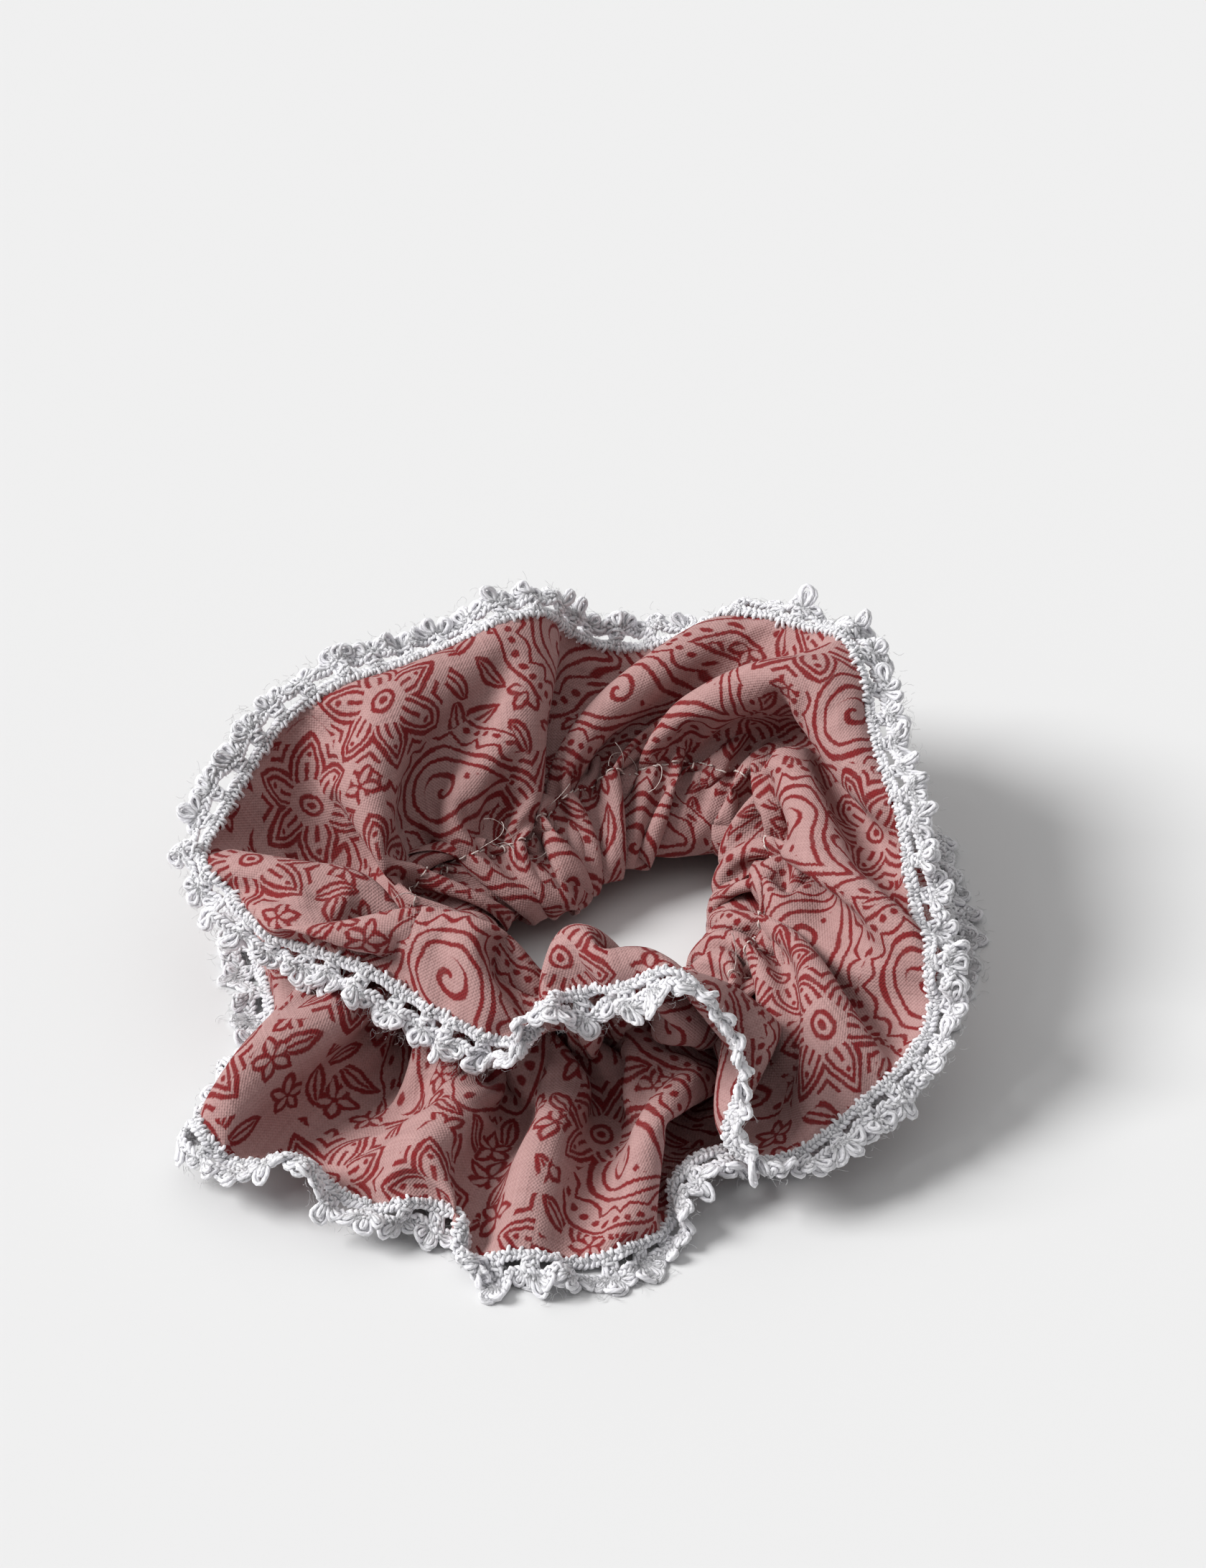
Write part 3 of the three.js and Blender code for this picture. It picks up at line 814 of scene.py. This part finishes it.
def pointed(beside, along, half_length, half_width):
    """Distance outside a pointed leaf."""
    arc = (half_length * half_length - half_width * half_width) / (2 * half_width)
    return hypot(beside + arc, along) - (arc + half_width)


def stroke(distance, half_width):
    """An inked line along distance 0."""
    half_width += INK_SPREAD
    return distance.abs().fade(half_width + 0.13, half_width - 0.13)


def joined(tree, x, y):
    return add_node(tree, "CombineXYZ", {0: x, 1: y}).outputs[0]


def parted(tree, socket):
    return [Field(out) for out in add_node(tree, "SeparateXYZ", {0: socket}).outputs]


def noise(tree, x, y, scale, detail=1.0):
    """Smooth noise of x and y, about 0.5, as a value and two more for free."""
    inputs = {"Vector": joined(tree, x, y), "Scale": scale, "Detail": detail}
    node = add_node(tree, "TexNoise", inputs, noise_dimensions="2D")
    return [Field(node.outputs[0]), *parted(tree, node.outputs[1])[1:]]


def motif_cell(tree, x, y, size, which, randomness=0.75):
    """Place within the nearest cell of scattered motifs, turned at random, and its random numbers."""
    inputs = {"Vector": joined(tree, x / size, y / size), "Scale": 1.0, "Randomness": randomness}
    node = add_node(tree, "TexVoronoi", inputs, voronoi_dimensions="2D", feature=which)
    chance, kind, more = parted(tree, node.outputs["Color"])
    centre_x, centre_y, _ = parted(tree, node.outputs["Position"])
    across = x - centre_x * size
    up = y - centre_y * size
    turn = chance * (2 * math.pi)
    cos, sin = turn.cos(), turn.sin()
    return across * cos + up * sin, up * cos - across * sin, kind, more


# ---- The print: paisleys and flowers with echo lines, scallops and dots, all in millimetres of cloth
PAISLEY_ROUND = 6.6
PAISLEY_TIP = 0.8
PAISLEY_REACH = 13.0
MOTIF_SPACING = 23.5
PRINT_SCALE = 1.3
INK_SPREAD = 0.05                  # how much wider a line prints than it is cut


def paisley(x, y, side):
    """Distance outside a teardrop with a curled tip."""
    lean = (PAISLEY_ROUND - PAISLEY_TIP) / PAISLEY_REACH
    slope = math.sqrt(1 - lean * lean)
    curl = y.most(0)
    across = (x + curl * curl * side * 0.03).abs()
    along = y * slope - across * lean
    bowl = hypot(across, y) - PAISLEY_ROUND
    flank = across * slope + y * lean - PAISLEY_ROUND
    tip = hypot(across, y - PAISLEY_REACH) - PAISLEY_TIP
    return choose(choose(flank, bowl, along.below(0)), tip, along.above(slope * PAISLEY_REACH))


def flower(x, y, petals, size, plump):
    """Distance outside a flower of pointed petals, and the place along and beside its nearest petal."""
    sector = 2 * math.pi / petals
    turn = ((y.bearing(x) / sector).fract() - 0.5) * sector
    radius = hypot(x, y)
    along, beside = radius * turn.cos(), (radius * turn.sin()).abs()
    half = size * 0.52
    return pointed(beside, along - (size - half), half, plump), along, beside


def motif(tree, x, y, which):
    """Distance to the nearest paisley or flower, the place in it, and whether it is a flower."""
    across, up, kind, more = motif_cell(tree, x, y, MOTIF_SPACING, which)
    blossom = kind.above(0.52)
    middle = up + (1 - blossom) * 4
    side = more.above(0.5) * 2 - 1
    drop = paisley(across, middle, side)
    petal, along, beside = flower(across, middle, petals=6, size=9.6, plump=2.5)
    return [choose(drop, petal, blossom), across, middle, blossom, along, beside]


def bead_row(turn, radius, count, offset):
    """Round dots in a row: how far from the nearest one, on the line where offset is 0."""
    along = ((turn * (count / (2 * math.pi))).fract() - 0.5) * radius * (2 * math.pi / count)
    return hypot(along, offset)


def dot(x, y, size):
    return hypot(x, y).fade(size + 0.14, size - 0.14)


def paisley_inside(d, x, y, radius, turn):
    """An inner line, a curl in the bowl and a line of seeds towards the tip."""
    coil = stroke(((radius * 0.36 - turn / (2 * math.pi)).fract() - 0.5) * 2.8, 0.38)
    coil = coil * radius.fade(3.1, 2.8)
    seed_y = ((y / 1.9).fract() - 0.5) * 1.9
    seeds = dot(x, seed_y, 0.5) * y.fade(4.0, 4.2) * (d + 2.9).fade(0.1, -0.1)
    return stroke(d + 1.8, 0.27).most(coil).most(seeds)


def flower_inside(d, radius, along, beside):
    """A ringed eye, and an inner line, a vein and a dot in each petal."""
    eye = stroke(radius - 1.5, 0.28).most(radius.fade(0.75, 0.5))
    vein = stroke(beside, 0.26) * along.fade(3.0, 3.3) * along.fade(5.6, 5.3)
    dots = dot(along - 6.7, beside, 0.42)
    return eye.most(vein).most(dots).most(stroke(d + 1.0, 0.24) * along.above(3.2))


def filler_ink(tree, x, y):
    """Florets, leaves and dots for the room between the motifs."""
    across, up, kind, _ = motif_cell(tree, x, y, 5.6, "F1", 0.6)
    floret, _, _ = flower(across, up, petals=5, size=2.9, plump=0.75)
    floret = stroke(floret, 0.27).most(dot(across, up, 0.42))
    leaf = pointed(across.abs(), up, half_length=3.1, half_width=1.15)
    leaf = stroke(leaf, 0.28).most(stroke(across, 0.2) * leaf.fade(-0.3, -0.5))
    return choose(floret, leaf, kind.above(0.45))


def print_ink(tree, u, v):
    """Where the cloth is inked, from 0 to 1."""
    drift = noise(tree, u, v, 0.11, 1.0)
    x = (u + (drift[1] - 0.5) * 2.6) / PRINT_SCALE
    y = (v + (drift[2] - 0.5) * 2.6) / PRINT_SCALE
    near, far = motif(tree, x, y, "F1"), motif(tree, x, y, "F2")
    swap = far[0].below(near[0])
    d, px, py, blossom, along, beside = [choose(one, two, swap) for one, two in zip(near, far)]
    radius = hypot(px, py)
    turn = py.bearing(px)
    brush = drift[0].fade(0.3, 0.7) * 0.2

    outline = (d.abs() - brush).fade(0.37, 0.13)
    within = choose(paisley_inside(d, px, py, radius, turn),
                    flower_inside(d, radius, along, beside), blossom) * d.below(0)
    scallop = stroke(d - 2.6 + (turn * 7).sin().abs() * 1.3, 0.28) * (1 - blossom)
    echo = stroke(d - 5.3 + (turn * 5 + radius * 0.3).sin() * 0.4, 0.26) * (1 - blossom)
    beads = bead_row(turn, radius, 34, d - 3.8).fade(0.68, 0.42) * (1 - blossom)
    sprays = stroke(d - 1.4, 0.27) * blossom * along.below(8.4)
    filler = filler_ink(tree, x, y) * (d - (6.0 - blossom * 3.6)).fade(-0.1, 0.2)

    return outline.most(within).most(scallop).most(echo).most(beads).most(sprays).most(filler)


# ---- Printed cotton voile
THREAD_PITCH = 0.33
PRINT_BLEED = 0.22                 # how far the ink creeps along a thread


def shader_of(name, values):
    """A new material with these constant values on its shader."""
    material = bpy.data.materials.new(name)
    material.use_nodes = True
    shader = material.node_tree.nodes["Principled BSDF"]
    for socket, value in values.items():
        shader.inputs[socket].default_value = value
    return material, material.node_tree, shader


def mapped(tree, name):
    """The two numbers of a UV map."""
    return parted(tree, add_node(tree, "UVMap", {}, uv_map=name).outputs[0])[:2]


def thread_chance(tree, place):
    """A random number for each thread."""
    inputs = {"W": (place / THREAD_PITCH).floor()}
    return Field(add_node(tree, "TexWhiteNoise", inputs, noise_dimensions="1D").outputs["Value"])


def mixed(tree, first, second, share):
    inputs = {"A": first, "B": second, "Factor": share}
    return add_node(tree, "Mix", inputs, data_type="RGBA").outputs["Result"]


def bump(tree, shader, height, distance):
    node = add_node(tree, "Bump", {"Distance": distance, "Strength": 0.8, "Height": height})
    tree.links.new(node.outputs[0], shader.inputs["Normal"])


def printed_cloth():
    material, tree, shader = shader_of("printed_cloth", {
        "Roughness": 0.9, "Specular IOR Level": 0.1, "Sheen Weight": 0.04, "Sheen Roughness": 0.4})
    u, v = [metres * 1000 for metres in mapped(tree, "cloth")]
    warp, weft = thread_chance(tree, u), thread_chance(tree, v + 1000)
    ink = print_ink(tree, u + (weft - 0.5) * PRINT_BLEED, v + (warp - 0.5) * PRINT_BLEED)
    weave = (u * (math.pi / THREAD_PITCH)).sin() * (v * (math.pi / THREAD_PITCH)).sin()
    slub = noise(tree, u * 0.12, v * 2.4, 1.0, 2.0)[0] + noise(tree, u * 2.4, v * 0.12, 1.0, 2.0)[0] - 1
    dye = noise(tree, u, v, 0.45, 3.0)[0]
    shade = slub * 1.0 + (warp + weft - 1) * 0.22 + weave * 0.34
    ground = mixed(tree, (0.31, 0.170, 0.162, 1), (0.49, 0.304, 0.290, 1), shade * 0.5 + 0.5)
    red = mixed(tree, (0.145, 0.012, 0.013, 1), (0.215, 0.020, 0.022, 1), dye + weave * 0.12)
    cover = ink * (dye * 0.3 + 0.82 + weave * 0.06).least(1)
    tree.links.new(mixed(tree, ground, red, cover), shader.inputs["Base Color"])
    bump(tree, shader, weave * 0.5 + slub * 1.2 + dye * 1.5, 0.0001)
    return material


def spun(name, values, dark, light, relief, plies=2, twist=900.0, grain=(0.6, 2.0), groove_shade=0.5, shift=0.0):
    """Twisted yarn: a spiral ply along the yarn map, as bump and as painted shade darkening the grooves
    between the plies, over random patches of tone.
    """
    material, tree, shader = shader_of(name, values)
    u, v = mapped(tree, "yarn")
    turn = (v * plies + u * twist).fract() - 0.5
    ridge = 1 - turn * turn * 4
    patch = noise(tree, u * 1000, v, *grain)[0]
    # painted shade: the colour runs from dark in the grooves between the plies to light on their crests, and
    # the noise adds random patches of tone
    colour = mixed(tree, (*dark, 1), (*light, 1), ridge * groove_shade + patch * 0.5 + shift)
    tree.links.new(colour, shader.inputs["Base Color"])
    bump(tree, shader, ridge, relief)
    return material


cloth_look = printed_cloth()
# for each yarn, the first colour is the painted shade of the ply grooves and the darker patches, the second
# the ply crests and the lighter patches
yarn = spun("lace_yarn", {"Roughness": 0.95, "Specular IOR Level": 0.2, "Sheen Weight": 0.25,
                          "Subsurface Weight": 0.8, "Subsurface Radius": (1, 1, 1),
                          "Subsurface Scale": 0.0011},
            (0.72, 0.71, 0.752), (0.79, 0.78, 0.815), 0.00012, 3, grain=(0.8, 1.0), groove_shade=0.7, shift=-0.1)
SMOOTH = {"Roughness": 0.8, "Specular IOR Level": 0.3}
thread = spun("pale_thread", SMOOTH, (0.50, 0.40, 0.37), (0.78, 0.70, 0.66), 0.00008)
rubber = spun("covered_rubber", SMOOTH, (0.62, 0.61, 0.58), (0.85, 0.84, 0.81), 0.00008, twist=400.0)

start, place, pull, core = lay_out_strip()
settled = Settler(start, place, pull, core).run(steps=200, sweeps=10)
upper = cloth_piece("upper_ruffle", settled[:, UPPER_EDGE:UPPER_SEAM + 1], UPPER_EDGE, cloth_look)
casing = cloth_piece("casing", settled[:, UPPER_SEAM:LOWER_SEAM + 1], UPPER_SEAM, cloth_look)
lower = cloth_piece("lower_ruffle", settled[:, LOWER_SEAM:LOWER_EDGE + 1], LOWER_SEAM, cloth_look)
# the side seams stop a row short of the lace and two rows short of the stitching: three rows in all
upper_side = seam_allowance("upper_side_seam_allowance", settled, UPPER_EDGE + 1, UPPER_SEAM - 2, cloth_look)
lower_side = seam_allowance("lower_side_seam_allowance", settled, LOWER_SEAM + 2, LOWER_EDGE - 1, cloth_look)
upper_lace = crochet("upper_lace", Ground(settled, UPPER_EDGE, -1, slack=LACE_SLACK, seed=5), 3, yarn)
lower_lace = crochet("lower_lace", Ground(settled, LOWER_EDGE, 1, slack=LACE_SLACK, seed=6), 4, yarn)
stitches = stitching(settled, thread)
band, tack = elastic(Core(core), rubber, thread)

cloths = [upper, casing, lower, upper_side, lower_side]
for piece in cloths:
    smooth = piece.modifiers.new("round", "SUBSURF")
    smooth.levels = smooth.render_levels = 1
# every piece stretches between the two sides, from x = -40 mm to x = 36 mm
for piece in [*cloths, *upper_lace, *lower_lace, stitches, band, tack]:
    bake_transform(piece)

for piece, name in ((upper, "upper_ruffle"), (casing, "casing"), (lower, "lower_ruffle"),
                    (upper_lace[0], "upper_lace"), (lower_lace[0], "lower_lace"),
                    (stitches, "casing_stitching")):
    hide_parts(name + "_left", name + "_right")
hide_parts("elastic_left", "elastic_right", "elastic_overlap")
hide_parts("elastic_bar_tack")
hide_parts("upper_side_seam")
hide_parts("lower_side_seam")


# ---- Stage, light and camera
def floor():
    mesh = bpy.data.meshes.new("floor")
    mesh.from_pydata([(-4, -4, 0), (4, -4, 0), (4, 6, 0), (-4, 6, 0)], [], [(0, 1, 2, 3)])
    mesh.materials.append(shader_of("floor", {
        "Base Color": (0.69, 0.69, 0.69, 1), "Roughness": 1.0, "Specular IOR Level": 0})[0])
    return placed("floor", mesh)


floor()
world = bpy.data.worlds.new("studio")
world.use_nodes = True
background = world.node_tree.nodes["Background"].inputs
background["Color"].default_value = (1, 1, 1, 1)
background["Strength"].default_value = 0.27
bpy.context.scene.world = world


def sun(name, strength, spread, direction):
    """A soft light from far away in a direction."""
    light = bpy.data.lights.new(name, "SUN")
    light.energy = strength
    light.angle = math.radians(spread)
    placed(name, light).rotation_euler = Vector(direction).to_track_quat("Z", "Y").to_euler()


sun("key", 3.75, 26, (-0.76, -0.04, 0.64))
sun("overhead", 0.72, 100, (0.0, 0.25, 1.0))

CAMERA_PLACE = (0.0041, -0.4915, 0.4504)
CAMERA_LOOKS_DOWN = 39.27          # degrees
lens = bpy.data.cameras.new("camera")
lens.lens = 85
lens.sensor_width = 36
camera = placed("camera", lens)
camera.location = CAMERA_PLACE
camera.rotation_euler = (math.radians(90 - CAMERA_LOOKS_DOWN), 0, 0)
bpy.context.scene.camera = camera
bpy.context.scene.view_settings.view_transform = "Standard"
